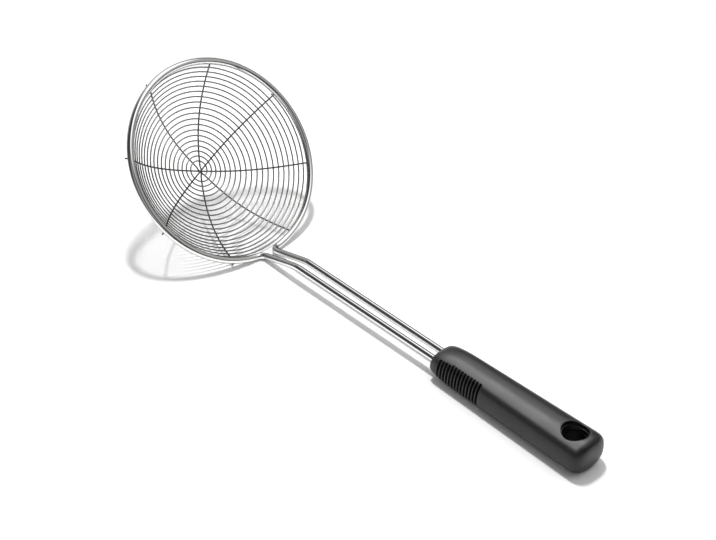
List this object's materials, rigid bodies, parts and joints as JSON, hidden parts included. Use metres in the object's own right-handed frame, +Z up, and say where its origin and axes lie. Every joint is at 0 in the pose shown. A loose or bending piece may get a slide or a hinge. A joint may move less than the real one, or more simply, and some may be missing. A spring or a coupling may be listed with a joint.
{
  "type": "wire skimmer",
  "caption": "Round wire skimmer with a tilted bowl-shaped spiral basket, a doubled wire shaft and a soft black handle with a hang hole, for lifting and draining food.",
  "frame": {"origin": "middle of the underside of the bounding box, on the table it lies on", "axes": "+X along the shaft from the basket to the end of the handle, +Z up off the table, the basket's open side facing +X and +Z"},
  "size_m": [0.3818, 0.1444, 0.1083],
  "materials": {
    "wire_steel": "bright polished stainless steel",
    "grip_rubber": "satin soft-touch",
    "core_plastic": "plain moulded"
  },
  "bodies": {
    "root": {"frame_wire": "wire_steel", "cross_wire_1": "wire_steel", "cross_wire_2": "wire_steel", "cross_wire_3": "wire_steel", "cross_wire_4": "wire_steel", "spiral_wire": "wire_steel", "handle_core": "core_plastic", "grip_sleeve": "grip_rubber"}
  },
  "joints": []
}
